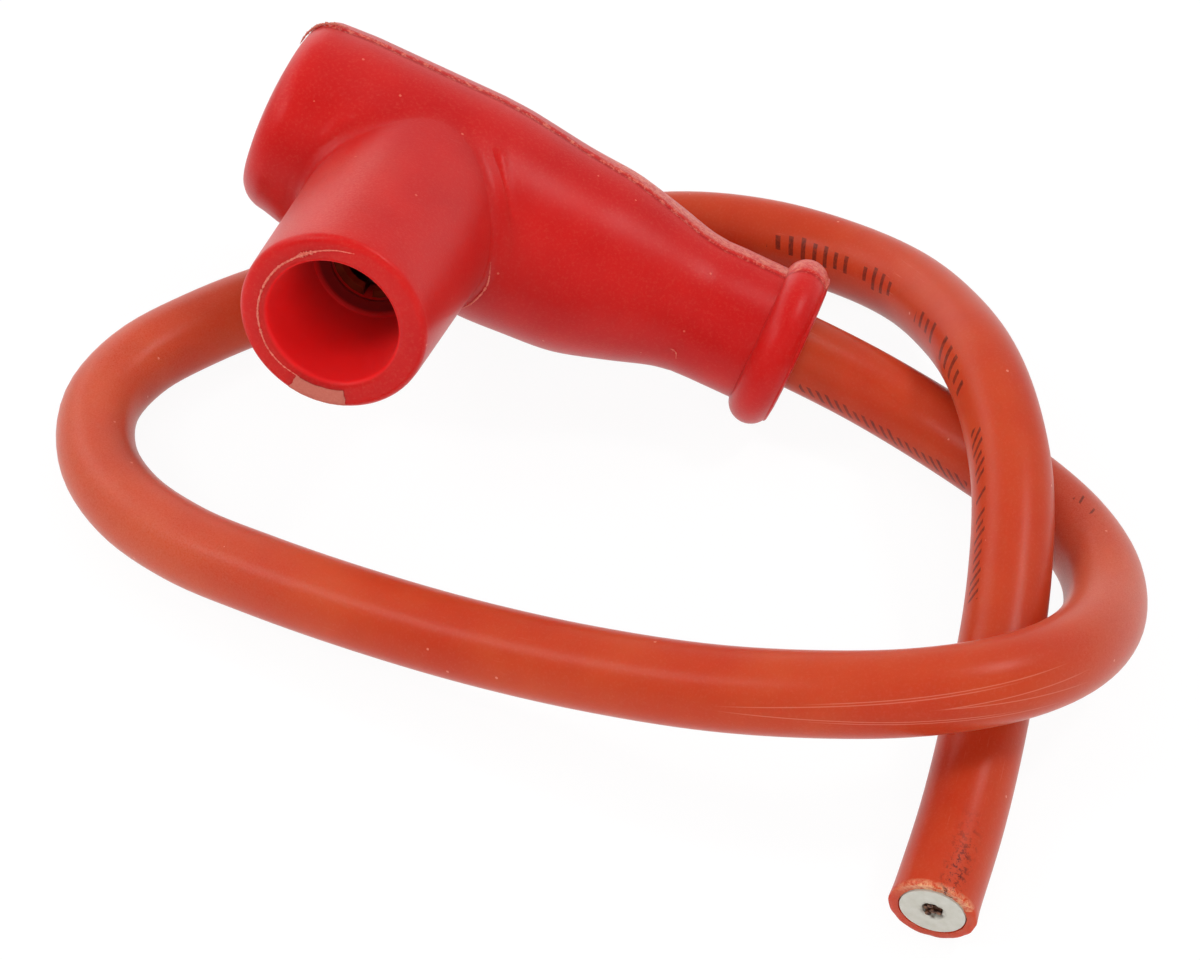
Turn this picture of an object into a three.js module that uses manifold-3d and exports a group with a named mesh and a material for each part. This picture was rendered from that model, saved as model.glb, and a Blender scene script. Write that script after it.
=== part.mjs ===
// A right-angle spark plug lead, in millimetres, +Z up.
// A silicone boot holds a split brass socket and the screw that bites into the cable's core. The cable
// leaves the boot's neck, loops once over itself on the table and under the boot, and ends in a bare cut.
import * as THREE from "three";
import { mergeVertices } from "three/addons/utils/BufferGeometryUtils.js";
import Module from "manifold-3d";

const wasm = await Module();
wasm.setup();

// Clearances
const FIT_GAP = 0.3; // between pieces that touch on the real lead
const LAYER_GAP = 0.25; // between the cable's layers
const CUT_MARGIN = 1.0; // how far a cutter runs past the face that it cuts

// How the boot lies: nose down to its outlet, and rolled until its barrel lifts off the table
const BODY_SLOPE_DEG = 16.5;
const BARREL_LIFT_DEG = 14.7;

// Cable
const CABLE_R = 4.0;
const INSULATION_R = 3.05;
const CONDUCTOR_R = 0.9;
const STRAIGHT_OUT = 1.0; // the cable leaves the boot straight for this long
const CABLE_SIDES = 12;
const CONDUCTOR_SIDES = 8;
const CABLE_STEPS = 48; // about one a diameter, because the loop's bends are tight

// Cable screw: a flat eye on the socket's stud, a shank with a collar, and a coarse thread
const SHANK_R = 1.8; // and half the eye's thickness
const COLLAR_START = 10.5; // from the barrel's axis
const COLLAR_LENGTH = 1.2;
const COLLAR_INSET = 0.6; // the collar is this much smaller than the cable
const SCREW_LENGTH = 9.0;
const SCREW_POINT = 2.8;
const SCREW_ROOT_R = 0.95;
const THREAD_WIRE_R = 0.35;
const THREAD_TURNS = 5;

// Plug socket
const SOCKET_R = 4.0; // and the eye's radius
const SOCKET_LENGTH = 16.3;
const SOCKET_BORE_R = 2.8;
const SOCKET_BORE_DEPTH = 10.2;
const SOCKET_CHAMFER = 0.4;
const DRILL_POINT_DEG = 118;
const SLIT_WIDTH = 0.9;
const SLIT_DEPTH = 7.0;
const SLIT_TURN_DEG = 78;
const STUD_R = 1.9;
const STUD_PROUD = 0.8; // beyond the eye
const GROOVE_DEPTH = 0.5;

// Snap ring in the socket's groove
const SPRING_WIRE_R = 0.35;
const SPRING_FROM_MOUTH = 3.4;
const SPRING_TURN = 0.86; // share of a full turn that the wire covers

// Boot, inside
const STUD_ROOM = 1.3; // space below the stud
const SEAT_STEP = 1.6; // ledge round the socket's mouth
const PLUG_BORE_DEPTH = 12.4; // from the ledge to the mouth
const PLUG_BORE_FLARE = 0.6; // wider at the mouth than at the ledge
const MOUTH_CHAMFER = 0.5;

// Boot, outside: the body, from its closed end to the outlet, then the barrel
const BODY_R = 11.1;
const BODY_BACK = 17.7; // closed end, behind the barrel's axis
const BACK_CORNER = 3.4;
const BACK_CROWN = 0.9;
const BODY_FRONT = 9.7; // full radius as far as here, ahead of the barrel's axis
const SHOULDER_LENGTH = 9.5;
const SHOULDER_DROP = 0.7;
const TAPER_LENGTH = 11.0;
const NECK_LENGTH = 7.6;
const NECK_WALL = 2.9;
const BEAD_LENGTH = 4.6;
const BEAD_PROUD = 1.85;
const BARREL_ROOT_R = 10.3;
const BARREL_WALL = 2.85; // at the mouth
const RIM_EDGE_R = 0.6;

const ROUND = 48; // facets round the boot
const FINE = 24; // facets round the small turned pieces

const SILICONE_RED = { color: 0xc8282a, roughness: 0.55, metalness: 0 };
const CABLE_ORANGE = { color: 0xcd5032, roughness: 0.45, metalness: 0 };
const CABLE_WHITE = { color: 0xe6e2da, roughness: 0.6, metalness: 0 };
const COPPER_BROWN = { color: 0x5a3a26, roughness: 0.5, metalness: 0.6 };
const BRASS = { color: 0xb08d45, roughness: 0.35, metalness: 1 };
const SPRING_STEEL = { color: 0x8f9296, roughness: 0.3, metalness: 1 };

// The cable's free run from the outlet to the cut, chosen by hand. Z is the height of its middle.
const CABLE_RUN = [
  [35.8, 10.1, 6.1],
  [42.6, 8.6, 4.7],
  [49.2, 5.9, 4.3],
  [55.2, 2.8, 4.3], // under the strand that comes back
  [60.4, -1.2, 4.6],
  [64.1, -6.4, 5.7],
  [66.0, -12.8, 7.7],
  [65.9, -19.6, 10.7],
  [63.6, -26.4, 13.8],
  [59.2, -31.9, 15.7], // over the cut end's strand
  [53.0, -35.6, 16.0],
  [45.8, -37.4, 14.9],
  [34.8, -38.3, 12.5],
  [22.4, -38.0, 10.1],
  [10.0, -37.1, 8.3],
  [-2.4, -35.6, 6.9],
  [-13.2, -34.0, 6.1],
  [-21.8, -32.2, 5.5],
  [-29.6, -28.8, 5.0],
  [-35.4, -23.5, 4.6],
  [-38.3, -16.5, 4.4],
  [-37.3, -9.4, 4.3],
  [-33.4, -2.9, 4.3],
  [-27.4, 4.0, 4.3],
  [-18.6, 10.8, 4.3], // under the boot
  [-7.8, 18.0, 4.3],
  [2.8, 25.3, 4.3],
  [11.2, 29.1, 4.3],
  [19.8, 30.5, 4.3],
  [28.4, 29.3, 4.8],
  [36.2, 25.0, 6.9],
  [42.6, 18.0, 9.9],
  [47.6, 10.2, 12.6],
  [51.4, 2.8, 13.3], // over the strand from the boot
  [54.5, -4.8, 12.2],
  [57.0, -16.0, 9.5],
  [58.3, -28.4, 6.7],
  [58.9, -39.0, 4.9],
  [58.9, -50.2, 4.3], // the cut
];

// Places that more than one piece shares: along the barrel, then along the body, both from their crossing
const eyeHalf = SHANK_R;
const studEnd = -(eyeHalf + STUD_PROUD);
const socketBack = eyeHalf + FIT_GAP;
const socketMouth = socketBack + SOCKET_LENGTH;
const springPlace = socketMouth - SPRING_FROM_MOUTH;
const springHalf = SPRING_WIRE_R + FIT_GAP;
const grooveR = SOCKET_R - GROOVE_DEPTH;
const springRingR = grooveR + springHalf;
const pocketR = SOCKET_R + FIT_GAP;
const ledge = socketMouth + FIT_GAP;
const ledgeR = pocketR + SEAT_STEP;
const boreMouthR = ledgeR + PLUG_BORE_FLARE;
const barrelEnd = ledge + PLUG_BORE_DEPTH;

const collarEnd = COLLAR_START + COLLAR_LENGTH;
const screwEnd = collarEnd + SCREW_LENGTH;
const threadR = SCREW_ROOT_R + THREAD_WIRE_R / 2;
const screwRoomR = threadR + THREAD_WIRE_R + FIT_GAP;
const cableStart = collarEnd + FIT_GAP;
const cableBoreR = CABLE_R + FIT_GAP;
const shoulder = BODY_FRONT + SHOULDER_LENGTH;
const neckStart = shoulder + TAPER_LENGTH;
const neckR = cableBoreR + NECK_WALL;
const beadStart = neckStart + NECK_LENGTH;
const outlet = beadStart + BEAD_LENGTH;

// A solid from a closed three.js geometry
function solidOf(geometry) {
  const bare = geometry.clone();
  bare.deleteAttribute("normal");
  bare.deleteAttribute("uv");
  const merged = mergeVertices(bare, 1e-4);
  return new wasm.Manifold(
    new wasm.Mesh({
      numProp: 3,
      vertProperties: merged.attributes.position.array,
      triVerts: new Uint32Array(merged.index.array),
    }),
  );
}

function meshOf(name, solid, finish) {
  const { vertProperties, triVerts } = solid.getMesh();
  const geometry = new THREE.BufferGeometry();
  geometry.setAttribute("position", new THREE.BufferAttribute(vertProperties, 3));
  geometry.setIndex(new THREE.BufferAttribute(triVerts, 1));
  geometry.computeVertexNormals();
  const mesh = new THREE.Mesh(geometry, new THREE.MeshStandardMaterial(finish));
  mesh.name = name;
  return mesh;
}

// Turned shapes. A profile is a list of [distance along the axis, radius].
function turned(profile, facets) {
  const points = profile.map(([along, radius]) => new THREE.Vector2(radius, along));
  return new THREE.LatheGeometry(points, facets);
}

function turnedAlongBody(profile, facets = ROUND) {
  return solidOf(turned(profile, facets).rotateZ(-Math.PI / 2));
}

function turnedAlongBarrel(profile, facets = ROUND) {
  return solidOf(turned(profile, facets).rotateX(Math.PI));
}

// Points of a profile on an arc, its angles in radians from the axis direction
function arc(along, radius, size, from, to, steps) {
  return Array.from({ length: steps + 1 }, (_, i) => {
    const angle = from + ((to - from) * i) / steps;
    return [along + size * Math.cos(angle), radius + size * Math.sin(angle)];
  });
}

// A regular polygon as a shape, with a hole where one is asked for
function polygon(radius, sides, holeRadius = 0) {
  const corner = (r, angle) => new THREE.Vector2(r * Math.cos(angle), r * Math.sin(angle));
  const ring = (r) => Array.from({ length: sides }, (_, i) => corner(r, (2 * Math.PI * i) / sides));
  const shape = new THREE.Shape(ring(radius));
  if (holeRadius > 0) shape.holes.push(new THREE.Path(ring(holeRadius)));
  return shape;
}

function tube(shape, path, steps) {
  return new THREE.ExtrudeGeometry(shape, { extrudePath: path, steps, bevelEnabled: false });
}

// A wire bent round the Y axis: one open ring, or a thread that climbs as it turns
class Coil extends THREE.Curve {
  constructor(radius, turns, rise = 0) {
    super();
    Object.assign(this, { radius, turns, rise });
  }
  getPoint(t, target = new THREE.Vector3()) {
    const angle = 2 * Math.PI * this.turns * t;
    return target.set(this.radius * Math.cos(angle), this.rise * t, this.radius * Math.sin(angle));
  }
}

// Boot: one silicone moulding
function boot() {
  const backSlope = Math.atan2(BACK_CROWN, BODY_R - BACK_CORNER);
  const backCentre = -BODY_BACK + BACK_CROWN + BACK_CORNER;
  const beadHalf = BEAD_LENGTH / 2;
  const body = turnedAlongBody([
    [-BODY_BACK, 0],
    ...arc(backCentre, BODY_R - BACK_CORNER, BACK_CORNER, Math.PI - backSlope, Math.PI / 2, 4),
    [BODY_FRONT, BODY_R],
    [shoulder, BODY_R - SHOULDER_DROP],
    [neckStart, neckR],
    [beadStart, neckR],
    ...arc(beadStart + beadHalf, neckR + BEAD_PROUD - beadHalf, beadHalf, Math.PI, 0, 8),
    [outlet, 0],
  ]);
  const mouthR = boreMouthR + BARREL_WALL;
  const barrel = turnedAlongBarrel([
    [0, 0],
    [0, BARREL_ROOT_R],
    ...arc(barrelEnd - RIM_EDGE_R, mouthR - RIM_EDGE_R, RIM_EDGE_R, Math.PI / 2, 0, 3),
    [barrelEnd, 0],
  ]);
  const springRoomR = springRingR + springHalf;
  const plugBore = turnedAlongBarrel([
    [studEnd - STUD_ROOM, 0],
    [studEnd - STUD_ROOM, pocketR],
    [springPlace - springHalf, pocketR],
    [springPlace - springHalf, springRoomR],
    [springPlace + springHalf, springRoomR],
    [springPlace + springHalf, pocketR],
    [ledge, pocketR],
    [ledge, ledgeR],
    [barrelEnd - MOUTH_CHAMFER, boreMouthR],
    [barrelEnd, boreMouthR + MOUTH_CHAMFER],
    [barrelEnd + CUT_MARGIN, boreMouthR + MOUTH_CHAMFER],
    [barrelEnd + CUT_MARGIN, 0],
  ]);
  const cableBore = turnedAlongBody([
    [0, 0],
    [0, SHANK_R + FIT_GAP],
    [COLLAR_START - FIT_GAP, SHANK_R + FIT_GAP],
    [COLLAR_START - FIT_GAP, cableBoreR],
    [outlet + CUT_MARGIN, cableBoreR],
    [outlet + CUT_MARGIN, 0],
  ]);
  return body.add(barrel).subtract(plugBore).subtract(cableBore);
}

// Plug socket: a brass sleeve, split so that it grips the plug's tip, with a stud at its back
function plugSocket() {
  const boreEnd = socketMouth - SOCKET_BORE_DEPTH;
  const drillPoint = SOCKET_BORE_R / Math.tan(THREE.MathUtils.degToRad(DRILL_POINT_DEG / 2));
  const sleeve = turnedAlongBarrel(
    [
      [studEnd, 0],
      [studEnd, STUD_R],
      [socketBack, STUD_R],
      [socketBack, SOCKET_R],
      [springPlace - springHalf, SOCKET_R],
      [springPlace - springHalf, grooveR],
      [springPlace + springHalf, grooveR],
      [springPlace + springHalf, SOCKET_R],
      [socketMouth, SOCKET_R],
      [socketMouth, SOCKET_BORE_R + SOCKET_CHAMFER],
      [socketMouth - SOCKET_CHAMFER, SOCKET_BORE_R],
      [boreEnd, SOCKET_BORE_R],
      [boreEnd - drillPoint, 0],
    ],
    FINE,
  );
  const slit = new THREE.BoxGeometry(2 * (SOCKET_R + CUT_MARGIN), SLIT_DEPTH + CUT_MARGIN, SLIT_WIDTH)
    .rotateY(THREE.MathUtils.degToRad(SLIT_TURN_DEG))
    .translate(0, -(socketMouth + (CUT_MARGIN - SLIT_DEPTH) / 2), 0);
  return sleeve.subtract(solidOf(slit));
}

// Snap ring: an open ring of round spring wire
function socketSpring() {
  const ring = new Coil(springRingR, SPRING_TURN);
  const wire = tube(polygon(SPRING_WIRE_R, 6), ring, Math.round(FINE * SPRING_TURN));
  return solidOf(wire.translate(0, -springPlace, 0));
}

// Cable screw, with its eye round the socket's stud
function cableScrew() {
  const eye = turnedAlongBarrel(
    [
      [-eyeHalf, 0],
      [-eyeHalf, SOCKET_R],
      [eyeHalf, SOCKET_R],
      [eyeHalf, 0],
    ],
    FINE,
  );
  const shank = turnedAlongBody(
    [
      [0, 0],
      [0, SHANK_R],
      [COLLAR_START, SHANK_R],
      [COLLAR_START, CABLE_R - COLLAR_INSET],
      [collarEnd, CABLE_R - COLLAR_INSET],
      [collarEnd, SCREW_ROOT_R],
      [screwEnd - SCREW_POINT, SCREW_ROOT_R],
      [screwEnd, 0],
    ],
    FINE,
  );
  const threadRise = SCREW_LENGTH - SCREW_POINT - 2 * THREAD_WIRE_R;
  const threadPath = new Coil(threadR, THREAD_TURNS, threadRise);
  const thread = tube(polygon(THREAD_WIRE_R, 5), threadPath, THREAD_TURNS * 10)
    .rotateZ(-Math.PI / 2)
    .translate(collarEnd + THREAD_WIRE_R, 0, 0);
  const studHole = turnedAlongBarrel(
    [
      [-eyeHalf - CUT_MARGIN, 0],
      [-eyeHalf - CUT_MARGIN, STUD_R + FIT_GAP],
      [eyeHalf + CUT_MARGIN, STUD_R + FIT_GAP],
      [eyeHalf + CUT_MARGIN, 0],
    ],
    FINE,
  );
  return eye.add(shank).add(solidOf(thread)).subtract(studHole);
}

// The boot and its metal, in the boot's own frame: X to the outlet, the barrel along -Y
const bootParts = new THREE.Group();
bootParts.add(
  meshOf("boot", boot(), SILICONE_RED),
  meshOf("plug_socket", plugSocket(), BRASS),
  meshOf("socket_spring", socketSpring(), SPRING_STEEL),
  meshOf("cable_screw", cableScrew(), BRASS),
);
bootParts.rotation.x = -THREE.MathUtils.degToRad(BARREL_LIFT_DEG);

const lyingBoot = new THREE.Group();
lyingBoot.add(bootParts);
lyingBoot.rotation.y = THREE.MathUtils.degToRad(BODY_SLOPE_DEG);

// The origin lies on the table under the middle of the boot
lyingBoot.updateMatrixWorld(true);
const bounds = new THREE.Box3().setFromObject(lyingBoot, true);
const middle = bounds.getCenter(new THREE.Vector3());
lyingBoot.position.set(-middle.x, -middle.y, -bounds.min.z);
lyingBoot.updateMatrixWorld(true);

// Cable: three layers on one path, from the screw's collar through the neck and round the loop
const onBodyAxis = (along) => lyingBoot.localToWorld(new THREE.Vector3(along, 0, 0));
const cablePath = new THREE.CatmullRomCurve3(
  [
    onBodyAxis(cableStart),
    onBodyAxis(beadStart),
    onBodyAxis(outlet + STRAIGHT_OUT),
    ...CABLE_RUN.map(([x, y, z]) => new THREE.Vector3(x, y, z)),
  ],
  false,
  "centripetal",
);
const layer = (shape) => solidOf(tube(shape, cablePath, CABLE_STEPS));

// The screw has opened up the insulation and pushed the strands back
const screwRoom = solidOf(
  turned(
    [
      [cableStart - CUT_MARGIN, 0],
      [cableStart - CUT_MARGIN, screwRoomR],
      [screwEnd + FIT_GAP, screwRoomR],
      [screwEnd + FIT_GAP, 0],
    ],
    FINE,
  )
    .rotateZ(-Math.PI / 2)
    .applyMatrix4(lyingBoot.matrixWorld),
);
const jacket = layer(polygon(CABLE_R, CABLE_SIDES, INSULATION_R + LAYER_GAP));
const insulation = layer(polygon(INSULATION_R, CABLE_SIDES, CONDUCTOR_R + LAYER_GAP)).subtract(screwRoom);
const conductor = layer(polygon(CONDUCTOR_R, CONDUCTOR_SIDES)).subtract(screwRoom);

const lead = new THREE.Group();
lead.add(
  lyingBoot,
  meshOf("wire_jacket", jacket, CABLE_ORANGE),
  meshOf("wire_insulation", insulation, CABLE_WHITE),
  meshOf("wire_conductor", conductor, COPPER_BROWN),
);
export default lead;
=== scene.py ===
import math

import bmesh
import bpy
from mathutils import Matrix, Vector, noise


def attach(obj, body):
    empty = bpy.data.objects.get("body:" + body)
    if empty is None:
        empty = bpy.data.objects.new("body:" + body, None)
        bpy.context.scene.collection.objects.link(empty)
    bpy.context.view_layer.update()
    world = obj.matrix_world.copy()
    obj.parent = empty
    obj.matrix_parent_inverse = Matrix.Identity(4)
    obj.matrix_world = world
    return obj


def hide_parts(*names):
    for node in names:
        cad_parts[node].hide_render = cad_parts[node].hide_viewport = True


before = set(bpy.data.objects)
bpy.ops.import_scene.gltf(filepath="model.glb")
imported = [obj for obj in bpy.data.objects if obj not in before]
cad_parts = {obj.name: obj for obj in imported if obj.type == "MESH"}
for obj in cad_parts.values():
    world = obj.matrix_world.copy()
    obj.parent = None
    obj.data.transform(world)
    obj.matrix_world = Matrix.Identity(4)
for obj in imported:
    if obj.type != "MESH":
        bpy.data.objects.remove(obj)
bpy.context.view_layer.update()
scene = bpy.context.scene

# Camera. It looks down on the lead over its front left corner, from about a third of a metre.
# The lens is a long one, so the loop keeps its shape from front to back.
CAMERA_PLACE = (0.0823, -0.2110, 0.2322)
CAMERA_TURN = math.radians(18.8)
CAMERA_DIP = math.radians(47)
LENS = 92.55

camera_data = bpy.data.cameras.new("camera")
camera_data.lens = LENS
camera_data.sensor_width = 36
camera_data.clip_start = 0.01
camera = bpy.data.objects.new("camera", camera_data)
camera.location = CAMERA_PLACE
camera.rotation_euler = (math.pi / 2 - CAMERA_DIP, 0, CAMERA_TURN)
scene.collection.objects.link(camera)
scene.camera = camera

# Boot. One moulding of red silicone: a body with a closed end, and a barrel across it for the plug.
# It lies nose down on the bead round its cable outlet, rolled until the barrel lifts off the table.
# Its own frame has X towards the outlet and the barrel along -Y, from where their two axes cross.
MM = 0.001
BODY_SLOPE = math.radians(16.5)
BARREL_LIFT = math.radians(14.7)
CROSSING = Vector((-12.134, 10.601, 20.148))

BODY_R = 11.1
BODY_BACK = 17.7
BACK_CORNER = 2.7
BACK_CROWN = 0.9
# Radius, sag and the drawing in of the closed end's two corners, each at a place along the body
TAPER = [
    (4, 11.1),
    (8.6, 11.06),
    (14, 10.6),
    (18.6, 10.25),
    (20.4, 9.95),
    (25, 8.75),
    (29.2, 7.55),
    (31.2, 7.25),
]
SAG = [(4, 0), (7, 0.2), (9, 0.4), (13, 0.6), (17, 0.66), (21, 0.5), (25, 0.32), (29, 0.15), (33, 0)]
LOW_CORNER = [(-17.7, 0.8), (-16.5, 1.4), (-14, 1.2), (-12, 0.7), (-8, 0)]
HIGH_CORNER = [(-17.7, 0.5), (-15, 0.38), (-13, 0.2), (-10.5, 0)]
LOW_SIDE = Vector((0, 0.52, 0.85))
NECK_R = 7.25
BEAD_START = 37.8
BEAD_R = 9.05
OUTLET = 42.4
OUTLET_LIP_R = 4.05
CABLE_BORE_R = 4.3

BARREL_END = 31.1
BARREL_ROOT_R = 10.3
BARREL_MOUTH_R = 9.35
BARREL_LEAN = 0.3  # at its root, towards the outlet
RIM_EDGE = 0.8
BORE_MOUTH_R = 6.5
BORE_LEDGE_R = 5.9
MOUTH_LIP = 0.7
LEDGE = 18.7
POCKET_R = 4.3
POCKET_END = -3.9
SPRING_ROOM = (14.35, 15.65, 4.8)  # from, to, radius
SHANK_BORE_R = 2.1
COLLAR_ROOM_START = 10.2

PARTING = [(12, 13), (31, 2)]  # along the body, and degrees from its upper side towards the back
PARTING_STEP = 0.14  # how far the back half of the mould stands proud
FLASH_HEIGHT = 0.1
FLASH_HALF = 0.5

# Two soft creases in the body's skin beside the barrel's root, where the moulding was bent to free it
CREASES = [
    [(6.6, -5.2, 9.6), (7.0, -5.7, 9.3), (8.3, -7.1, 8.2), (9.9, -8.4, 6.6), (10.7, -8.8, 5.9)],
    [(-9.9, -9.8, 5.4), (-9.3, -8.9, 6.7), (-8.7, -8.1, 7.6)],
]
CREASE_HALF = 0.75
CREASE_HEIGHT = 0.24

BODY_STEPS = 176
RING_PITCH = 0.5
BARREL_RINGS = 24
FILLET_RINGS = 10
FILLET_END = math.radians(80)

boot_place = (
    Matrix.Scale(MM, 4)
    @ Matrix.Translation(CROSSING)
    @ Matrix.Rotation(BODY_SLOPE, 4, "Y")
    @ Matrix.Rotation(-BARREL_LIFT, 4, "X")
)


def arc(along, radius, size, start, end, steps):
    """Profile points on an arc round (along, radius), its angles in degrees from the axis direction."""
    angles = [math.radians(start + (end - start) * i / steps) for i in range(steps + 1)]
    return [(along + size * math.cos(a), radius + size * math.sin(a)) for a in angles]


def smooth_run(points, steps):
    """A smooth line through the points: centripetal Catmull-Rom, with steps to each span."""
    points = [Vector(p) for p in points]
    ends = [2 * points[0] - points[1], *points, 2 * points[-1] - points[-2]]
    line = []
    for before, start, end, after in zip(ends, ends[1:], ends[2:], ends[3:]):
        knots = [0.0]
        for a, b in ((before, start), (start, end), (end, after)):
            knots.append(knots[-1] + math.sqrt((b - a).length))
        t0, t1, t2, t3 = knots
        for step in range(steps):
            t = t1 + (t2 - t1) * step / steps
            a = before.lerp(start, (t - t0) / (t1 - t0))
            b = start.lerp(end, (t - t1) / (t2 - t1))
            c = end.lerp(after, (t - t2) / (t3 - t2))
            d = a.lerp(b, (t - t0) / (t2 - t0))
            e = b.lerp(c, (t - t1) / (t3 - t1))
            line.append(d.lerp(e, (t - t1) / (t2 - t1)))
    line.append(points[-1])
    return line


def closer(profile, pitch):
    """The same profile with no span longer than pitch."""
    filled = [profile[0]]
    for (a0, r0), (a1, r1) in zip(profile, profile[1:]):
        spans = max(1, math.ceil(math.hypot(a1 - a0, r1 - r0) / pitch))
        filled += [(a0 + (a1 - a0) * i / spans, r0 + (r1 - r0) * i / spans) for i in range(1, spans + 1)]
    return filled


def turned(profile, axis, steps):
    """A solid turned about the body's axis, X, or the barrel's, -Y, from (along, radius) points."""
    bm = bmesh.new()
    if axis == "X":
        corners = [bm.verts.new((along, 0, radius)) for along, radius in profile]
        direction = (1, 0, 0)
    else:
        corners = [bm.verts.new((radius, -along, 0)) for along, radius in profile]
        direction = (0, 1, 0)
    edges = [bm.edges.new(pair) for pair in zip(corners, corners[1:])]
    bmesh.ops.spin(
        bm,
        geom=corners + edges,
        cent=(0, 0, 0),
        axis=direction,
        angle=2 * math.pi,
        steps=steps,
        use_merge=True,
    )
    bmesh.ops.remove_doubles(bm, verts=bm.verts, dist=1e-4)
    bmesh.ops.dissolve_degenerate(bm, edges=bm.edges, dist=1e-5)
    bmesh.ops.recalc_face_normals(bm, faces=bm.faces)
    return bm


def piece_from(bm, name, place=None):
    """An object of the bmesh, put in its place. The object itself stays at the origin."""
    if place is not None:
        bm.transform(place)
    mesh = bpy.data.meshes.new(name)
    bm.to_mesh(mesh)
    bm.free()
    piece = bpy.data.objects.new(name, mesh)
    scene.collection.objects.link(piece)
    return piece


def carved(piece, changes):
    """The piece after each other solid is added to it or cut from it. The other solids are used up."""
    for other, operation in changes:
        change = piece.modifiers.new(operation.lower(), "BOOLEAN")
        change.operation = operation
        change.solver = "EXACT"
        change.object = other
    mesh = bpy.data.meshes.new_from_object(piece.evaluated_get(bpy.context.evaluated_depsgraph_get()))
    piece.modifiers.clear()
    mesh.name = piece.name
    piece.data = mesh
    for other, operation in changes:
        bpy.data.objects.remove(other)
    return piece


def smooth(piece, sharp_degrees=35):
    piece.data.shade_smooth()
    piece.data.set_sharp_from_angle(angle=math.radians(sharp_degrees))
    return piece


crown_end = BODY_R - BACK_CORNER + BACK_CORNER * math.sin(math.radians(167))
crown = [(-BODY_BACK + BACK_CROWN * (r / crown_end) ** 2, r) for r in (0, 2, 4, 6, 7.3)]
corner_middle = -BODY_BACK + BACK_CROWN - BACK_CORNER * math.cos(math.radians(167))
bead_half = (OUTLET - BEAD_START) / 2
body_skin = [
    *crown,
    *arc(corner_middle, BODY_R - BACK_CORNER, BACK_CORNER, 167, 90, 12),
    *[tuple(p) for p in smooth_run(TAPER, 6)],
    *arc(BEAD_START + bead_half, BEAD_R - bead_half, bead_half, 168, 34, 18),
    *arc(BEAD_START + bead_half, BEAD_R - bead_half, bead_half + 0.12, 31, 26, 2),
    *arc(BEAD_START + bead_half, BEAD_R - bead_half, bead_half, 22, 0, 4),
    (OUTLET, OUTLET_LIP_R + 0.5),
    (OUTLET - 0.35, OUTLET_LIP_R),
    (OUTLET - 0.35, 0),
]


def between(points, along):
    """The value at this place along a list of (along, value) points."""
    for (a0, r0), (a1, r1) in zip(points, points[1:]):
        if a0 <= along <= a1 and a1 > a0:
            return r0 + (r1 - r0) * (along - a0) / (a1 - a0)
    return points[0][1] if along < points[0][0] else points[-1][1]


def body_radius(along):
    return between(body_skin, along) if along > 0 else BODY_R


def barrel_radius(height):
    return BARREL_ROOT_R + (BARREL_MOUTH_R - BARREL_ROOT_R) * height / BARREL_END


def fillet_size(turn):
    """Soft towards the closed end, tighter towards the outlet, and nearly gone on the two flanks."""
    facing = math.cos(turn)
    return 0.4 + (1.1 if facing < 0 else 0.9) * facing * facing


def on_barrel(turn, ring):
    """A point of the barrel's wall, of its fillet, or of the last strip, which dips under the body."""
    size = fillet_size(turn)
    swing = FILLET_END * max(0, min(ring, BARREL_RINGS + FILLET_RINGS) - BARREL_RINGS) / FILLET_RINGS
    out = size * (1 - math.cos(swing))
    up = size * (1 - math.sin(swing))
    if ring > BARREL_RINGS + FILLET_RINGS:
        dip = 0.2 + 0.4 * abs(math.cos(turn))
        out += dip
        up -= dip * math.tan(math.pi / 2 - FILLET_END)
    height = BODY_R
    for _ in range(3):
        radius = barrel_radius(height) + out
        reach = body_radius(radius * math.cos(turn)) + up
        height = math.sqrt(max(0.01, reach * reach - (radius * math.sin(turn)) ** 2))
    if ring < BARREL_RINGS:
        top = BARREL_END - RIM_EDGE
        height = top + (height - top) * ring / BARREL_RINGS
        radius = barrel_radius(height)
    shift = BARREL_LEAN * (1 - height / BARREL_END)
    return Vector((radius * math.cos(turn) + shift, -height, radius * math.sin(turn)))


# The mould parts in a plane behind the body's axis. Its back half stands a little proud, and the line
# between the halves carries a thin ragged flash. The soft body sags a little ahead of the barrel.
sag = [tuple(p) for p in smooth_run(SAG, 4)]
crease_points = [point for crease in CREASES for point in smooth_run(crease, 6)]
body_bm = turned(closer(body_skin, RING_PITCH), "X", BODY_STEPS)
for vert in body_bm.verts:
    turn = math.atan2(vert.co.y, abs(vert.co.z))
    radius = math.hypot(vert.co.y, vert.co.z)
    if radius > NECK_R - 1:
        past = radius * (turn - math.radians(between(PARTING, vert.co.x)))
        ragged = FLASH_HALF * (1 + 0.5 * noise.noise(Vector((vert.co.x * 0.9, 0, 3))))
        step = PARTING_STEP * min(1, max(0, past / ragged + 0.5))
        flash = FLASH_HEIGHT * max(0, 1 - (past / ragged) ** 2)
        vert.co.y *= 1 + (step + flash) / radius
        vert.co.z *= 1 + (step + flash) / radius
    off_crease = min((vert.co - point).length for point in crease_points) / CREASE_HALF
    if off_crease < 1:
        rise = 1 + CREASE_HEIGHT * (1 - off_crease**2) ** 2 / radius
        vert.co.y *= rise
        vert.co.z *= rise
    vert.co.z -= between(sag, vert.co.x)
    below = max(0, -(LOW_SIDE.y * vert.co.y + LOW_SIDE.z * vert.co.z)) / BODY_R
    vert.co += between(LOW_CORNER, vert.co.x) * below**2 * LOW_SIDE
    above = max(0, vert.co.z) / BODY_R
    vert.co.z -= between(HIGH_CORNER, vert.co.x) * above**2

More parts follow.
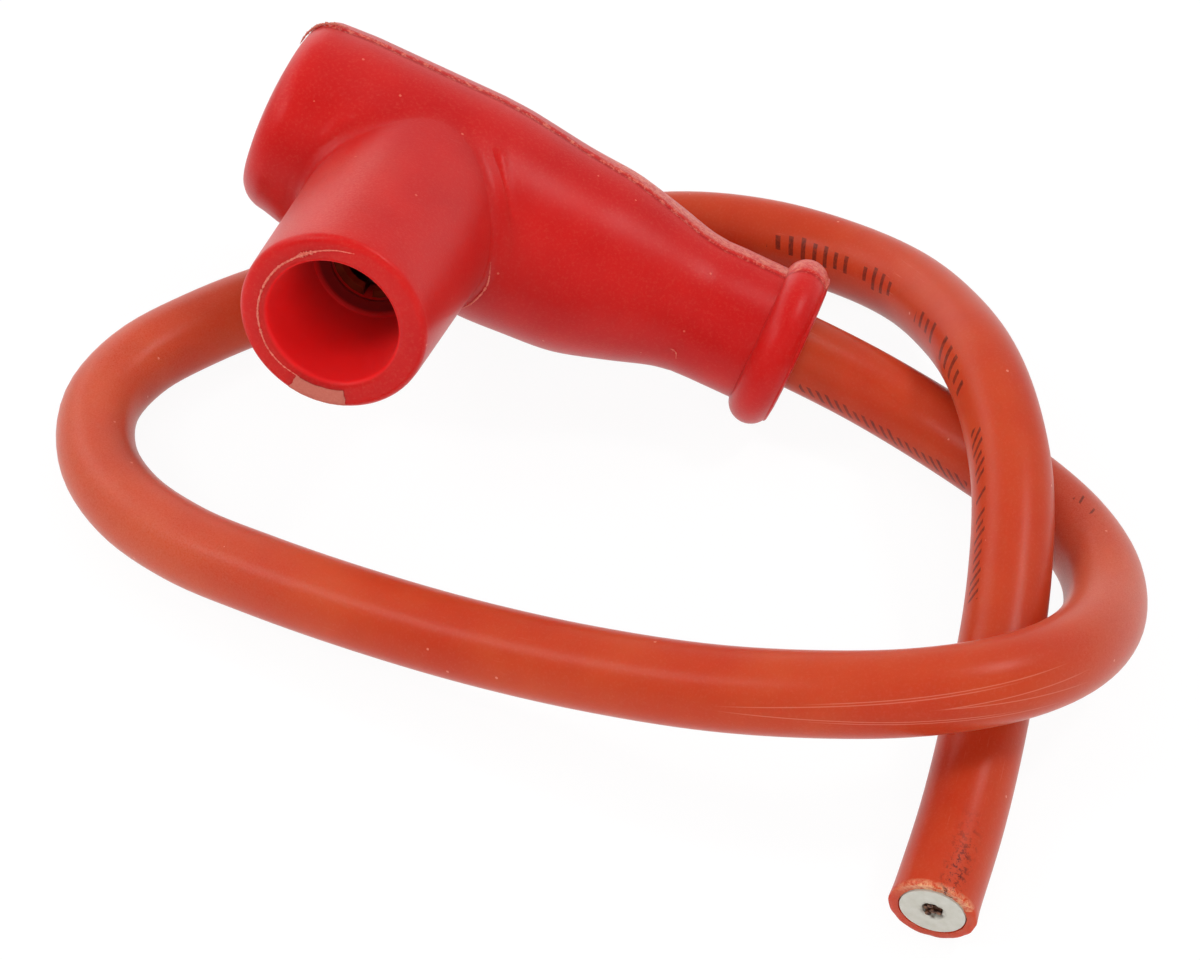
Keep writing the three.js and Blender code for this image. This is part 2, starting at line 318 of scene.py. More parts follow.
wall_marks = [(-ring, 1.0) for ring in range(1, BARREL_RINGS + FILLET_RINGS + 2)]
barrel_bm = turned(
    [
        (BARREL_END, 0),
        (BARREL_END, BORE_LEDGE_R),
        *arc(BARREL_END - RIM_EDGE, BARREL_MOUTH_R - RIM_EDGE, RIM_EDGE, 0, 90, 8),
        *wall_marks,
        (2.0, 0),
    ],
    "-Y",
    BODY_STEPS,
)
for vert in barrel_bm.verts:
    if vert.co.y > 0.5:
        vert.co = on_barrel(math.atan2(vert.co.z, vert.co.x), round(vert.co.y))
bmesh.ops.recalc_face_normals(barrel_bm, faces=barrel_bm.faces)

spring_low, spring_high, spring_room_r = SPRING_ROOM
plug_bore = turned(
    [
        (POCKET_END, 0),
        (POCKET_END, POCKET_R),
        (spring_low, POCKET_R),
        (spring_low, spring_room_r),
        (spring_high, spring_room_r),
        (spring_high, POCKET_R),
        (LEDGE, POCKET_R),
        (LEDGE, BORE_LEDGE_R - 0.3),
        (LEDGE + 0.3, BORE_LEDGE_R),
        (BARREL_END - MOUTH_LIP, BORE_MOUTH_R),
        (BARREL_END - 0.45 * MOUTH_LIP, BORE_MOUTH_R + 0.14 * MOUTH_LIP),
        (BARREL_END - 0.16 * MOUTH_LIP, BORE_MOUTH_R + 0.42 * MOUTH_LIP),
        (BARREL_END, BORE_MOUTH_R + MOUTH_LIP),
        (BARREL_END + 1, BORE_MOUTH_R + MOUTH_LIP),
        (BARREL_END + 1, 0),
    ],
    "-Y",
    96,
)
cable_bore = turned(
    [
        (0, 0),
        (0, SHANK_BORE_R),
        (COLLAR_ROOM_START, SHANK_BORE_R),
        (COLLAR_ROOM_START, CABLE_BORE_R),
        (OUTLET - 4, CABLE_BORE_R),
        (OUTLET - 3, OUTLET_LIP_R),
        (OUTLET + 1, OUTLET_LIP_R),
        (OUTLET + 1, 0),
    ],
    "X",
    96,
)
boot = carved(
    piece_from(body_bm, "boot_moulding", boot_place),
    [
        (piece_from(barrel_bm, "barrel", boot_place), "UNION"),
        (piece_from(plug_bore, "plug_bore", boot_place), "DIFFERENCE"),
        (piece_from(cable_bore, "cable_bore", boot_place), "DIFFERENCE"),
    ],
)

# On the mouth's flat rim the mould left a ragged line of flash round the bore, on the side of the
# closed end, and the cut stub of its gate at the bottom. More flash runs round the barrel's root, and
# a torn strip of it goes over the closed end's upper corner.
FLASH_LINE = [
    (-98, 7.35),
    (-116, 7.45),
    (-134, 7.5),
    (-160, 7.4),
    (-183, 7.35),
    (-205, 7.4),
    (-220, 7.4),
    (-236, 7.65),
    (-254, 8.0),
    (-268, 8.3),
]
FLASH_LUMP = [(-222, 7.45), (-232, 7.6), (-241, 7.7)]
ROOT_FLASH = [(9.3, -9.4, -6.4), (10.2, -10.3, -4.3), (10.8, -11.0, -1.5), (10.3, -11.4, 1.4)]
END_FLASH = [(-17.3, 7.6), (-17.0, 8.9), (-16.2, 10.2), (-14.9, 11.0), (-13.2, 11.25)]  # along, radius
CURL = [(30.0, -6.9, -2.4), (30.3, -7.15, -1.7), (30.9, -7.2, -1.8), (31.2, -7.0, -2.6)]
GATE_TURNS = (-101, -63)
GATE_RADII = (7.35, 9.1)
GATE_PROUD = 0.07


def on_rim(turn_degrees, radius, proud):
    """A point over the barrel's rim, turned from the outlet's side, which rounds off at its edge."""
    turn = math.radians(turn_degrees)
    over = max(0, radius - (BARREL_MOUTH_R - RIM_EDGE))
    height = BARREL_END + proud - (RIM_EDGE - math.sqrt(max(0, RIM_EDGE**2 - over**2)))
    return Vector((radius * math.cos(turn), -height, radius * math.sin(turn)))


def thread(points, radius, steps, seed):
    """A raised thread of silicone along the points, uneven in thickness and thin at its ends."""
    line = smooth_run(points, steps)
    last = len(line) - 1
    bm = turned(closer([(0, 0), (0, 1), (last, 1), (last, 0)], 0.5), "X", 8)
    for vert in bm.verts:
        low = min(int(vert.co.x), last - 1)
        heading = (line[low + 1] - line[low]).normalized()
        side = heading.orthogonal().normalized()
        over = heading.cross(side)
        rough = noise.noise(Vector((vert.co.x * 0.6, seed, 2)))
        rough += noise.noise(Vector((vert.co.x * 2.3, seed, 5)))
        share = vert.co.x / last
        thick = radius * max(0.35, 1 + rough) * (0.3 + 2.8 * share * (1 - share))
        centre = line[low].lerp(line[low + 1], vert.co.x - low)
        vert.co = centre + thick * (side * vert.co.y + over * vert.co.z)
    return bm


def on_parting(along, radius):
    turn = math.radians(PARTING[0][1])
    return Vector((along, radius * math.sin(turn), radius * math.cos(turn)))


gate_bm = bmesh.new()
bmesh.ops.create_grid(gate_bm, x_segments=22, y_segments=12, size=0.5)
for vert in gate_bm.verts:
    turn = GATE_TURNS[0] + (GATE_TURNS[1] - GATE_TURNS[0]) * (vert.co.x + 0.5)
    radius = GATE_RADII[0] + (GATE_RADII[1] - GATE_RADII[0]) * (vert.co.y + 0.5)
    turn += 1.2 * noise.noise(Vector((0, radius * 1.5, 7)))
    radius += 0.1 * noise.noise(Vector((turn * 0.12, 3, 7)))
    rough = GATE_PROUD + 0.03 * noise.noise(Vector((turn * 0.6, radius * 4, 1)))
    vert.co = on_rim(turn, radius, rough)
bmesh.ops.recalc_face_normals(gate_bm, faces=gate_bm.faces)
bmesh.ops.solidify(gate_bm, geom=gate_bm.faces, thickness=0.2)
bmesh.ops.recalc_face_normals(gate_bm, faces=gate_bm.faces)
trimmings = []
for bm, slot in (
    (thread([on_rim(turn, radius, 0.01) for turn, radius in FLASH_LINE], 0.1, 14, 1), 1),
    (thread([on_rim(turn, radius, 0.02) for turn, radius in FLASH_LUMP], 0.2, 8, 3), 1),
    (thread(ROOT_FLASH, 0.1, 12, 4), 1),
    (thread([on_parting(along, radius) for along, radius in END_FLASH], 0.15, 10, 9), 2),
    (thread(CURL, 0.06, 6, 8), 1),
    (gate_bm, 2),
):
    for face in bm.faces:
        face.material_index = slot
    trimmings.append(piece_from(bm, "trimming", boot_place))
joined = bmesh.new()
for part in (boot, *trimmings):
    joined.from_mesh(part.data)
bmesh.ops.remove_doubles(joined, verts=joined.verts, dist=2e-7)
joined.to_mesh(boot.data)
joined.free()
for part in trimmings:
    bpy.data.objects.remove(part)
smooth(boot)
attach(boot, "root")
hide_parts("boot")


def colour(red, green, blue):
    """A screen colour, 0 to 255, as the linear colour that a shader takes."""
    parts = [c / 255 for c in (red, green, blue)]
    return (*[c / 12.92 if c <= 0.04045 else ((c + 0.055) / 1.055) ** 2.4 for c in parts], 1.0)


def set_inputs(made, **values):
    """Sets the node's inputs of these names. An underscore in a name stands for a space."""
    for name, value in values.items():
        made.inputs[name.replace("_", " ")].default_value = value


def node(tree, kind, **settings):
    """A new node. Settings that start with a capital set its inputs, the others its properties."""
    made = tree.nodes.new(kind)
    for name, value in settings.items():
        if name[0].isupper():
            set_inputs(made, **{name: value})
        else:
            setattr(made, name, value)
    return made


def mix(tree, factor, low, high):
    """low where the factor is 0 and high where it is 1, both colours or colour sockets."""
    made = node(tree, "ShaderNodeMix", data_type="RGBA")
    for socket, value in ((0, factor), (6, low), (7, high)):
        if isinstance(value, (tuple, float)):
            made.inputs[socket].default_value = value
        else:
            tree.links.new(value, made.inputs[socket])
    return made.outputs[2]


def maths(tree, operation, first, second=0.0, third=0.0, clamp=False):
    made = node(tree, "ShaderNodeMath", operation=operation, use_clamp=clamp)
    for socket, value in ((0, first), (1, second), (2, third)):
        if isinstance(value, (int, float)):
            made.inputs[socket].default_value = value
        else:
            tree.links.new(value, made.inputs[socket])
    return made.outputs[0]


def ramp(tree, value, low, high):
    """0 where the value is at low or past it, and 1 where it is at high or past it."""
    scale = 1 / (high - low)
    return maths(tree, "MULTIPLY_ADD", value, scale, -low * scale, clamp=True)


def product(tree, first, *others):
    for other in others:
        first = maths(tree, "MULTIPLY", first, other)
    return first


def distance(tree, value, middle):
    """How far the value is from the middle, either way."""
    return maths(tree, "ABSOLUTE", maths(tree, "SUBTRACT", value, middle))


def axes(tree, vector):
    made = node(tree, "ShaderNodeSeparateXYZ")
    tree.links.new(vector, made.inputs[0])
    return made.outputs


def off_axis(tree, first, second):
    """How far a point is from an axis, from its places across it."""
    across = node(tree, "ShaderNodeCombineXYZ")
    tree.links.new(first, across.inputs["X"])
    tree.links.new(second, across.inputs["Y"])
    made = node(tree, "ShaderNodeVectorMath", operation="LENGTH")
    tree.links.new(across.outputs[0], made.inputs[0])
    return made.outputs["Value"]


def noise_at(tree, vector, scale, detail=2.0, roughness=0.5):
    made = node(tree, "ShaderNodeTexNoise", Scale=scale, Detail=detail, Roughness=roughness)
    tree.links.new(vector, made.inputs["Vector"])
    return made.outputs[0]


SPECK_R = 0.06
SPECKLESS = 0.6  # share of the cells with no speck in them


def silicone_group():
    """Moulded silicone: cloudy colour, pale dust, a fine matt grain and a few raised specks."""
    group = bpy.data.node_groups.new("silicone_skin", "ShaderNodeTree")
    for name, kind, value in (
        ("Place", "NodeSocketVector", None),
        ("Colour", "NodeSocketColor", (0.5, 0.1, 0.1, 1)),
        ("Deep", "NodeSocketColor", (0.4, 0.05, 0.05, 1)),
        ("Dust", "NodeSocketColor", (0.8, 0.5, 0.4, 1)),
        ("Dustiness", "NodeSocketFloat", 0.3),
        ("Gloss", "NodeSocketFloat", 0.5),
    ):
        socket = group.interface.new_socket(name, in_out="INPUT", socket_type=kind)
        if value is not None:
            socket.default_value = value
    group.interface.new_socket("Colour", in_out="OUTPUT", socket_type="NodeSocketColor")
    group.interface.new_socket("Roughness", in_out="OUTPUT", socket_type="NodeSocketFloat")
    group.interface.new_socket("Height", in_out="OUTPUT", socket_type="NodeSocketFloat")
    given = node(group, "NodeGroupInput").outputs
    taken = node(group, "NodeGroupOutput").inputs
    place = given["Place"]
    clouds = noise_at(group, place, 0.11, 3.0)
    grain = noise_at(group, place, 7.0, 2.0, 0.7)
    dust = noise_at(group, place, 3.2, 6.0, 0.75)
    dust = product(group, ramp(group, dust, 0.5, 0.7), given["Dustiness"])
    cells = node(group, "ShaderNodeTexVoronoi", Scale=0.42)
    group.links.new(place, cells.inputs["Vector"])
    chance = node(group, "ShaderNodeSeparateColor")
    group.links.new(cells.outputs["Color"], chance.inputs[0])
    specked = maths(group, "GREATER_THAN", chance.outputs[0], SPECKLESS)
    specks = product(group, maths(group, "LESS_THAN", cells.outputs["Distance"], SPECK_R), specked)
    base = mix(group, ramp(group, clouds, 1 / 3, 2 / 3), given["Deep"], given["Colour"])
    base = mix(group, dust, base, given["Dust"])
    group.links.new(mix(group, product(group, specks, 0.7), base, given["Dust"]), taken["Colour"])
    rough = maths(group, "MULTIPLY_ADD", grain, 0.12, given["Gloss"])
    group.links.new(rough, taken["Roughness"])
    relief = maths(group, "MULTIPLY_ADD", dust, 0.5, grain)
    group.links.new(maths(group, "MULTIPLY_ADD", specks, 2.0, relief), taken["Height"])
    return group


silicone_skin = silicone_group()


def material(name):
    """A new material, its node tree and its Principled shader."""
    made = bpy.data.materials.new(name)
    made.use_nodes = True
    return made, made.node_tree, made.node_tree.nodes["Principled BSDF"]


def place_in_boot(tree):
    """Object coordinates in millimetres in the boot's own frame."""
    seen = node(tree, "ShaderNodeTexCoord")
    turned_back = node(tree, "ShaderNodeMapping", vector_type="TEXTURE")
    turned_back.inputs["Location"].default_value = CROSSING * MM
    turned_back.inputs["Rotation"].default_value = boot_place.to_euler()
    turned_back.inputs["Scale"].default_value = (MM, MM, MM)
    tree.links.new(seen.outputs["Object"], turned_back.inputs["Vector"])
    return turned_back.outputs["Vector"]


def bumped(tree, shader, height, strength, distance):
    bump = node(tree, "ShaderNodeBump", Strength=strength, Distance=distance)
    tree.links.new(height, bump.inputs["Height"])
    tree.links.new(bump.outputs["Normal"], shader.inputs["Normal"])


BOOT_RED = colour(206, 30, 26)
BOOT_DEEP = colour(196, 16, 16)
# Pale colour of the dust and flash chips, and of the painted highlight on the barrel
BOOT_PALE_DUST_AND_HIGHLIGHT = colour(226, 120, 98)
CUT_GATE = colour(216, 128, 108)
TORN_GATE = colour(196, 92, 78)
# Painted shade along the foot of the parting step
STEP_SHADE_RED = colour(158, 12, 16)
# Painted light inside the bore, and painted shade round the socket
BORE_PAINTED_LIGHT = colour(246, 36, 38)
BORE_PAINTED_SHADE = colour(96, 12, 12)
FLASH_PALE = colour(236, 138, 116)
# How strong the painted highlight on the barrel gets at most
HIGHLIGHT_AT_MOST = 0.28

red_silicone, tree, shader = material("red_silicone")
place = place_in_boot(tree)
skin = node(tree, "ShaderNodeGroup", node_tree=silicone_skin)
tree.links.new(place, skin.inputs["Place"])
set_inputs(skin, Colour=BOOT_RED, Deep=BOOT_DEEP, Dust=BOOT_PALE_DUST_AND_HIGHLIGHT, Dustiness=0.15, Gloss=0.29)
in_boot = axes(tree, place)
around = maths(tree, "ARCTAN2", in_boot["Y"], in_boot["Z"])
(first, first_turn), (last, last_turn) = PARTING
parting = node(
    tree,
    "ShaderNodeMapRange",
    From_Min=first,
    From_Max=last,
    To_Min=math.radians(first_turn),
    To_Max=math.radians(last_turn),
)
tree.links.new(in_boot["X"], parting.inputs["Value"])
past = product(tree, maths(tree, "SUBTRACT", around, parting.outputs[0]), BODY_R)
behind = maths(tree, "GREATER_THAN", in_boot["Y"], -0.6)

# Along the parting: a thin painted shade below the step, pale chips on its edge, and on the taper a pale
# scuffed band
rough_edge = noise_at(tree, place, 1.6, 5.0, 0.8)
step_shade = product(tree, ramp(tree, distance(tree, past, -0.45), 0.385, 0), behind, 0.7)
chips = product(tree, ramp(tree, distance(tree, past, 0), 0.8, 0.133), ramp(tree, rough_edge, 0.5, 0.6))
band = product(tree, ramp(tree, distance(tree, past, 2.2), 2.58, 0.968), ramp(tree, rough_edge, 0.4, 0.6))
band = product(tree, band, ramp(tree, in_boot["X"], 14, 18))
flashed = product(tree, maths(tree, "MAXIMUM", chips, band), behind)
base = mix(tree, step_shade, skin.outputs["Colour"], STEP_SHADE_RED)
base = mix(tree, flashed, base, BOOT_PALE_DUST_AND_HIGHLIGHT)

# A painted highlight on the barrel, pale and grainy, on its upper side towards the closed end
off_barrel = off_axis(tree, in_boot["X"], in_boot["Z"])
facing = product(tree, in_boot["Z"], 0.5)
facing = maths(tree, "MULTIPLY_ADD", in_boot["X"], -0.87, facing)
facing = maths(tree, "DIVIDE", facing, off_barrel)
off_body = ramp(tree, in_boot["Y"], -11, -16)
off_rim = ramp(tree, in_boot["Y"], -30.7, -30.2)
highlight_grain = ramp(tree, noise_at(tree, place, 4.5, 6.0, 0.8), 0.375, 0.625)
painted_highlight = product(tree, ramp(tree, facing, 0.458, 0.875), off_body, off_rim, highlight_grain, HIGHLIGHT_AT_MOST)
base = mix(tree, painted_highlight, base, BOOT_PALE_DUST_AND_HIGHLIGHT)

# Inside the bore the colour is painted brighter, as painted light, and darker round the socket, as painted
# shade
past_ledge = maths(tree, "LESS_THAN", in_boot["Y"], -LEDGE + 0.4)
in_bore = product(tree, ramp(tree, off_barrel, 6.875, 6.625), past_ledge)
base = mix(tree, in_bore, base, BORE_PAINTED_LIGHT)
# Painted shade round the socket, deep in the bore
base = mix(tree, product(tree, ramp(tree, off_barrel, 6.3, 5.3), in_bore), base, BORE_PAINTED_SHADE)
tree.links.new(base, shader.inputs["Base Color"])
tree.links.new(skin.outputs["Roughness"], shader.inputs["Roughness"])
set_inputs(
    shader,
    Specular_IOR_Level=0.24,
    Sheen_Weight=0.04,
    Sheen_Roughness=0.4,
    Sheen_Tint=(1, 0.8, 0.76, 1),
    Subsurface_Weight=0.6,
    Subsurface_Radius=(1.0, 0.1, 0.08),
    Subsurface_Scale=0.005,
)
height = maths(tree, "MULTIPLY_ADD", flashed, 1.5, skin.outputs["Height"])
bumped(tree, shader, height, 0.35, 0.00006)

flash_silicone, tree, shader = material("flash_silicone")
grain = ramp(tree, noise_at(tree, place_in_boot(tree), 5.0, 3.0), 0.15, 0.65)
tree.links.new(mix(tree, grain, BOOT_RED, FLASH_PALE), shader.inputs["Base Color"])
shader.inputs["Roughness"].default_value = 0.5

cut_gate, tree, shader = material("cut_gate")
torn = noise_at(tree, place_in_boot(tree), 4.0, 5.0, 0.7)
tree.links.new(mix(tree, torn, TORN_GATE, CUT_GATE), shader.inputs["Base Color"])
shader.inputs["Roughness"].default_value = 0.7
bumped(tree, shader, torn, 0.6, 0.00012)
for finish in (red_silicone, flash_silicone, cut_gate):
    boot.data.materials.append(finish)


def refinished(name, finish):
    """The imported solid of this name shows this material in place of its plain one."""
    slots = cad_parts[name].data.materials
    slots.clear()
    slots.append(finish)


# Plug socket. A turned brass sleeve deep in the barrel, split so that it grips the plug's tip.
# Its stud goes through the eye of the cable screw behind it.
brass, tree, shader = material("brass")
place = place_in_boot(tree)
stain = noise_at(tree, place, 0.6, 4.0)
tree.links.new(mix(tree, stain, colour(74, 46, 30), colour(128, 92, 56)), shader.inputs["Base Color"])
shader.inputs["Metallic"].default_value = 1.0
tree.links.new(maths(tree, "MULTIPLY_ADD", stain, 0.3, 0.25), shader.inputs["Roughness"])
bumped(tree, shader, noise_at(tree, place, 9.0), 0.2, 0.00004)
refinished("plug_socket", brass)

# Cable screw. A flat brass eye with a shank, a collar and a coarse thread, screwed into the cable.
refinished("cable_screw", brass)

# Socket spring. An open ring of spring steel wire in the socket's groove, which snaps over the tip.
spring_steel, tree, shader = material("spring_steel")
drawn = noise_at(tree, place_in_boot(tree), 12.0, 3.0)
tree.links.new(mix(tree, drawn, colour(150, 152, 156), colour(200, 202, 206)), shader.inputs["Base Color"])
shader.inputs["Metallic"].default_value = 1.0
shader.inputs["Roughness"].default_value = 0.3
refinished("socket_spring", spring_steel)

# Cable jacket. An orange silicone tube over the insulation, 8 mm across and cut off square.
# It leaves the boot, goes round under the strand that comes back, over the cut end and under the boot.
CABLE_R = 4.0
JACKET_BORE_R = 3.08
CABLE_START = 13.0
CABLE_PITCH = 1.4
JACKET_STEPS = 56
CABLE_RUN = [
    (35.8, 10.1, 6.1),
    (42.6, 8.6, 4.7),
    (49.2, 5.9, 4.3),
    (55.2, 2.8, 4.3),
    (60.4, -1.2, 4.6),
    (64.1, -6.4, 5.7),
    (66.0, -12.8, 7.7),
    (65.9, -19.6, 10.7),
    (63.6, -26.4, 13.8),
    (59.2, -31.9, 15.7),
    (53.0, -35.6, 16.0),
    (45.8, -37.4, 14.9),
    (34.8, -38.3, 12.5),
    (22.4, -38.0, 10.1),
    (10.0, -37.1, 8.3),
    (-2.4, -35.6, 6.9),
    (-13.2, -34.0, 6.1),
    (-21.8, -32.2, 5.5),
    (-29.6, -28.8, 5.0),
    (-35.4, -23.5, 4.6),
    (-38.3, -16.5, 4.4),
    (-37.3, -9.4, 4.3),
    (-33.4, -2.9, 4.3),
    (-27.4, 4.0, 4.3),
    (-18.6, 10.8, 4.3),
    (-7.8, 18.0, 4.3),
    (2.8, 25.3, 4.3),
    (11.2, 29.1, 4.3),
    (19.8, 30.5, 4.3),
    (28.4, 29.3, 4.8),
    (36.2, 25.0, 6.9),
    (42.6, 18.0, 9.9),
    (47.6, 10.2, 12.6),
    (51.4, 2.8, 13.3),
    (54.5, -4.8, 12.2),
    (57.0, -16.0, 9.5),
    (58.3, -28.4, 6.7),
    (58.9, -39.0, 4.9),
    (58.9, -50.2, 4.3),
]


def on_body_axis(along):
    return boot_place @ Vector((along, 0, 0)) / MM


route = smooth_run(
    [on_body_axis(CABLE_START), on_body_axis(BEAD_START), on_body_axis(OUTLET + 1), *CABLE_RUN],
    12,
)
reach = [0.0]
for a, b in zip(route, route[1:]):
    reach.append(reach[-1] + (b - a).length)
cable_length = reach[-1]

# Directions across the cable at each point of the route, carried along it without twist
headings = [(b - a).normalized() for a, b in zip(route, route[1:])]
headings.append(headings[-1])
sideways = [headings[0].cross(Vector((0, 0, 1))).normalized()]
for heading in headings[1:]:
    last = sideways[-1]
    sideways.append((last - last.dot(heading) * heading).normalized())


def laid(point):
    """Where a point of the straight cable, in millimetres, lies on the route, in metres."""
    along = min(max(point.x, 0.0), cable_length)
    low, high = 0, len(reach) - 2
    while low < high:
        middle = (low + high + 1) // 2
        if reach[middle] <= along:
            low = middle
        else:
            high = middle - 1
    share = (along - reach[low]) / (reach[low + 1] - reach[low])
    centre = route[low].lerp(route[low + 1], share)
    heading = headings[low].lerp(headings[low + 1], share).normalized()
    side = sideways[low].lerp(sideways[low + 1], share).normalized()
    over = side.cross(heading)
    rest = point.x - along
    return (centre + side * point.y + over * point.z + heading * rest) * MM


def laid_piece(bm, name):
    """The straight bmesh laid on the route, its straight coordinates kept for the material."""
    straight = bm.verts.layers.float_vector.new("straight")
    for vert in bm.verts:
        vert[straight] = vert.co
        vert.co = laid(vert.co)
    # Laying mirrors the straight shape, so its faces are turned round to point out again
    bmesh.ops.reverse_faces(bm, faces=bm.faces)
    return smooth(piece_from(bm, name))


def free_cord(piece):
    """Parents the piece to the root body's empty."""
    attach(piece, "root")


jacket_bm = turned(
    closer(
        [
            (0, JACKET_BORE_R),
            (0, CABLE_R),
            (cable_length - 2.5, CABLE_R),
            (cable_length - 1.6, CABLE_R),
            (cable_length - 0.8, CABLE_R),
            (cable_length - 0.18, CABLE_R),
            (cable_length - 0.05, CABLE_R - 0.06),
            (cable_length, CABLE_R - 0.2),
            (cable_length, CABLE_R - 0.5),
            (cable_length, JACKET_BORE_R),
            (0, JACKET_BORE_R),
        ],
        CABLE_PITCH,
    ),
    "X",
    JACKET_STEPS,
)
# The cutters flared the jacket's end a little and left burrs round its upper inner edge.
FLARE_REACH = 2.5
BURR_REACH = 0.3
BURR_TURN = 120
BURR_SPREAD = 75

for vert in jacket_bm.verts:
    short = cable_length - vert.co.x
    if short < FLARE_REACH:
        angle = math.degrees(math.atan2(vert.co.z, vert.co.y))
        radius = math.hypot(vert.co.y, vert.co.z)
        rough = noise.noise(Vector((vert.co.y * 0.9, vert.co.z * 0.9, 4)))
        fine = noise.noise(Vector((vert.co.y * 3.1, vert.co.z * 3.1, 9)))
        upper = max(0, 1 - (abs(angle - BURR_TURN) / BURR_SPREAD) ** 2)
        flare = 1 + (0.03 + 0.02 * rough) * (1 - short / FLARE_REACH) ** 2
        vert.co.y *= flare
        vert.co.z *= flare
        if short < BURR_REACH:
            vert.co.x += 0.08 * rough + upper * (0.12 * fine - 0.15 * (radius < 3.6))
jacket = laid_piece(jacket_bm, "cable_jacket")
free_cord(jacket)
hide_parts("wire_jacket")


def along_cable(tree):
    """The straight cable's coordinates, in millimetres."""
    kept = node(tree, "ShaderNodeAttribute", attribute_name="straight", attribute_type="GEOMETRY")
    return kept.outputs["Vector"]


TICKLESS = 0.1  # share of the ticks that are left out


def print_group():
    """A generic row of slanted ticks, printed along the cable from Start to End on one side of it."""
    group = bpy.data.node_groups.new("tick_print", "ShaderNodeTree")
    group.interface.new_socket("Place", in_out="INPUT", socket_type="NodeSocketVector")
    for name, value in (
        ("Start", 0.0),
        ("End", 10.0),
        ("Turn", 0.0),
        ("Pitch", 1.5),
        ("Stroke", 0.4),
        ("Tall", 2.4),
        ("Slant", 0.3),
    ):
        group.interface.new_socket(name, in_out="INPUT", socket_type="NodeSocketFloat").default_value = value
    group.interface.new_socket("Ink", in_out="OUTPUT", socket_type="NodeSocketFloat")
    given = node(group, "NodeGroupInput").outputs
    on_cable = axes(group, given["Place"])
    along = on_cable["X"]
    turn = maths(group, "ARCTAN2", on_cable["Z"], on_cable["Y"])
    over = product(group, maths(group, "SUBTRACT", turn, given["Turn"]), CABLE_R)
    leaning = maths(group, "ADD", along, product(group, over, given["Slant"]))
    count = maths(group, "DIVIDE", leaning, given["Pitch"])
    stroke = maths(group, "LESS_THAN", maths(group, "FRACT", count), given["Stroke"])
    chance = node(group, "ShaderNodeTexWhiteNoise", noise_dimensions="1D")
    group.links.new(maths(group, "FLOOR", count), chance.inputs["W"])
    printed = maths(group, "GREATER_THAN", chance.outputs["Value"], TICKLESS)
    share = maths(group, "MULTIPLY_ADD", chance.outputs["Value"], 0.25, 0.25)
    tall = product(group, given["Tall"], share)
    inside = maths(group, "LESS_THAN", maths(group, "ABSOLUTE", over), tall)
    after = maths(group, "GREATER_THAN", along, given["Start"])
    before = maths(group, "LESS_THAN", along, given["End"])
    worn = noise_at(group, given["Place"], 3.0, 4.0, 0.7)
    ink = maths(group, "MULTIPLY_ADD", worn, 1.2, 0.1, clamp=True)
    ink = product(group, ink, stroke, printed, inside, after, before)
    group.links.new(ink, node(group, "NodeGroupOutput").inputs["Ink"])
    return group


# Start, end, turn in degrees, pitch, stroke, tall, slant
TICK_ROWS = [
    (288, 310, 55, 1.7, 0.36, 2.5, 0.25),
    (315, 331, 54, 1.7, 0.36, 2.5, 0.25),
    (336, 356, 62, 1.15, 0.4, 1.7, 0.9),
    (31, 53, -8, 1.15, 0.4, 1.8, 0.9),
    (64.5, 67.5, 96, 1.1, 0.3, 1.6, 0.9),
]
SCRATCHES = [(93, 108, 176), (95, 118, 160), (100, 126, 168)]  # start, end, and degrees either way
BENDS = [(76, 24), (198, 36)]  # middle and half length of the painted highlight on them
tick_print = print_group()

JACKET_ORANGE = colour(201, 73, 38)
JACKET_DEEP = colour(194, 60, 31)
# Pale colour of the dust and scratches, and of the painted highlight on the bends
JACKET_PALE_DUST_AND_HIGHLIGHT = colour(232, 150, 126)
CUT_BURR = colour(236, 178, 134)
SMUDGE = colour(104, 40, 30)
INK = colour(84, 34, 28)

orange_silicone, tree, shader = material("orange_silicone")
place = along_cable(tree)
skin = node(tree, "ShaderNodeGroup", node_tree=silicone_skin)
tree.links.new(place, skin.inputs["Place"])
set_inputs(skin, Colour=JACKET_ORANGE, Deep=JACKET_DEEP, Dust=JACKET_PALE_DUST_AND_HIGHLIGHT, Dustiness=0.08, Gloss=0.26)
ink = 0.0
for start, end, turn, pitch, stroke, tall, slant in TICK_ROWS:
    row = node(
        tree,
        "ShaderNodeGroup",
        node_tree=tick_print,
        Start=start,
        End=end,
        Turn=math.radians(turn),
        Pitch=pitch,
        Stroke=stroke,
        Tall=tall,
        Slant=slant,
    )
    tree.links.new(place, row.inputs["Place"])
    ink = maths(tree, "MAXIMUM", row.outputs["Ink"], ink)
on_cable = axes(tree, place)
to_cut = maths(tree, "SUBTRACT", cable_length, on_cable["X"])

# Long fine scratches, and dark and pale scuffs where the cable was handled to cut it
stretched = node(tree, "ShaderNodeVectorMath", operation="MULTIPLY")
tree.links.new(place, stretched.inputs[0])
stretched.inputs[1].default_value = (0.05, 1.0, 1.0)
scratches_and_highlight = noise_at(tree, stretched.outputs[0], 5.0, 3.0, 0.6)
patches = noise_at(tree, place, 0.06, 2.0)
scratches_and_highlight = product(tree, ramp(tree, scratches_and_highlight, 0.66, 0.785), ramp(tree, patches, 0.5, 0.75), 0.45)
angle = maths(tree, "ARCTAN2", on_cable["Z"], on_cable["Y"])
for start, end, turn in SCRATCHES:
    middle = maths(tree, "SUBTRACT", on_cable["X"], (start + end) / 2)
    half = (end - start) / 2
    inside = ramp(tree, distance(tree, middle, 0), half, half * 2 / 3)
    bent = maths(tree, "MULTIPLY_ADD", middle, 0.012, math.radians(turn))
    across = distance(tree, maths(tree, "ABSOLUTE", angle), bent)
    scratch = product(tree, ramp(tree, across, 0.02, 0.0018), inside, 0.4)
    scratches_and_highlight = maths(tree, "MAXIMUM", scratches_and_highlight, scratch)
